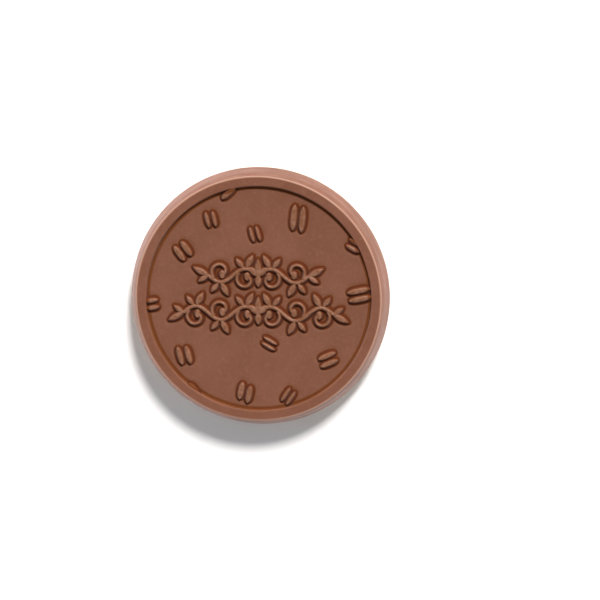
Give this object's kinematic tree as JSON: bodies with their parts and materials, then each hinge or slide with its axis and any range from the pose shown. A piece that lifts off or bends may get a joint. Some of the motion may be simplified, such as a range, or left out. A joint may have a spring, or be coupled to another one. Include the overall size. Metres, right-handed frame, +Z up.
{
  "type": "chocolate-backed sugar cookie",
  "caption": "Round embossed sugar cookie bonded to a moulded milk chocolate disc with a raised rim, bean halves and a scrolling vine in relief.",
  "frame": {"origin": "middle of the biscuit's lowest plane, on the surface the cookie lies on", "axes": "+Z up through the cookie, from the biscuit to the chocolate face; +Y towards the top of the face's ornament, +X to its right"},
  "size_m": [0.05, 0.05, 0.0081],
  "materials": {
    "biscuit": "pale baked sugar dough, dry and matt, a little browner on ridges and edges",
    "chocolate": "tempered milk chocolate from a mould, satin, with faint mottling"
  },
  "bodies": {
    "root": {"biscuit": "biscuit", "chocolate": "chocolate"}
  },
  "joints": []
}
